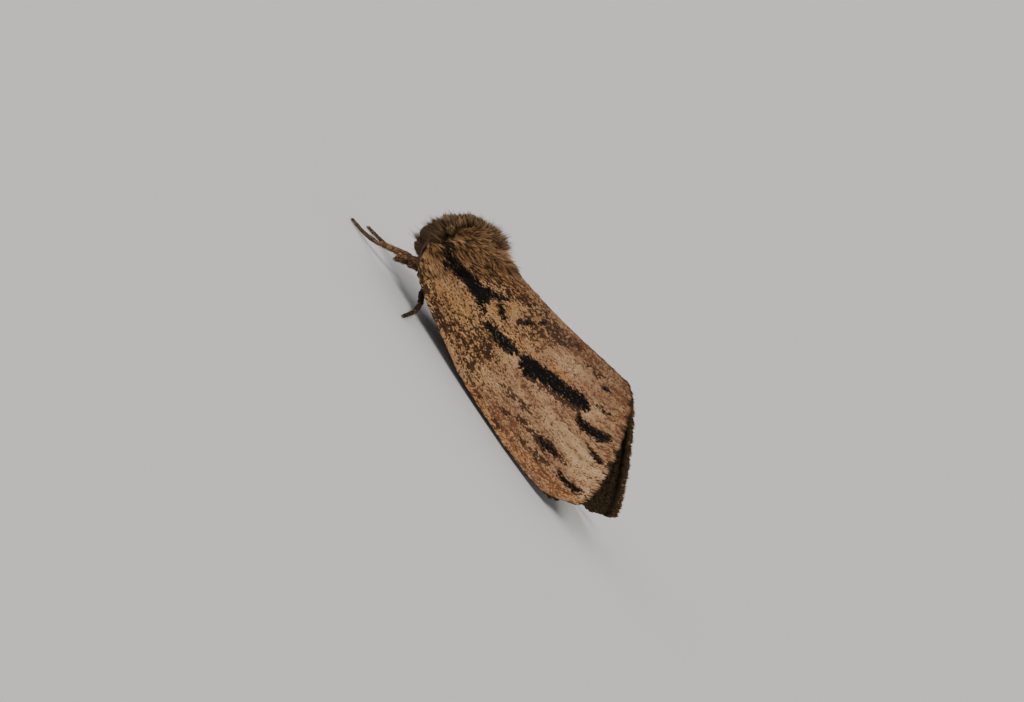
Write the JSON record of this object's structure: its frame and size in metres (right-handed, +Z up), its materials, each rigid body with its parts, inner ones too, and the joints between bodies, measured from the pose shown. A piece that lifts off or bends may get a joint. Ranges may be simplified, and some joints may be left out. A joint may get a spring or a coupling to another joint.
{
  "type": "moth",
  "caption": "Woolly noctuid moth at rest, life size, its streaked brown forewings closed as a steep tent and its forelegs stretched forward.",
  "frame": {"origin": "on the floor under the middle of the moth's whole length, from the tips of the forelegs to the wing tips", "axes": "+Z up, -Y towards the head, +Y towards the wing tips, +X towards the moth's left"},
  "size_m": [0.0126, 0.0256, 0.0082],
  "materials": {
    "wing_scales": "tan and brown scales with black streaks, matt, on a thin membrane",
    "hindwing_scales": "plain grey-brown scales, matt, on a thin membrane",
    "wool": "long grey-brown and tan hair-like scales, matt",
    "leg_scales": "short brown scales and hair, matt",
    "feeler": "ringed horn-like shell with fine pale scales",
    "eye_shell": "dark, glossy, finely faceted"
  },
  "bodies": {
    "root": {"abdomen": "wool", "antenna_left": "feeler", "antenna_right": "feeler", "collar": "wool", "eye_left": "eye_shell", "eye_right": "eye_shell", "foreleg_left_coxa": "leg_scales", "foreleg_left_femur": "leg_scales", "foreleg_left_tarsus": "leg_scales", "foreleg_left_tibia": "leg_scales", "foreleg_right_coxa": "leg_scales", "foreleg_right_femur": "leg_scales", "foreleg_right_tarsus": "leg_scales", "foreleg_right_tibia": "leg_scales", "forewing_left": "wing_scales", "forewing_right": "wing_scales", "head": "wool", "hindleg_left_coxa": "leg_scales", "hindleg_left_femur": "leg_scales", "hindleg_left_tarsus": "leg_scales", "hindleg_left_tibia": "leg_scales", "hindleg_right_coxa": "leg_scales", "hindleg_right_femur": "leg_scales", "hindleg_right_tarsus": "leg_scales", "hindleg_right_tibia": "leg_scales", "hindwing_left": "hindwing_scales", "hindwing_right": "hindwing_scales", "midleg_left_coxa": "leg_scales", "midleg_left_femur": "leg_scales", "midleg_left_tarsus": "leg_scales", "midleg_left_tibia": "leg_scales", "midleg_right_coxa": "leg_scales", "midleg_right_femur": "leg_scales", "midleg_right_tarsus": "leg_scales", "midleg_right_tibia": "leg_scales", "palp_left": "wool", "palp_right": "wool", "tegula_left": "wool", "tegula_right": "wool", "thorax": "wool"}
  },
  "joints": []
}
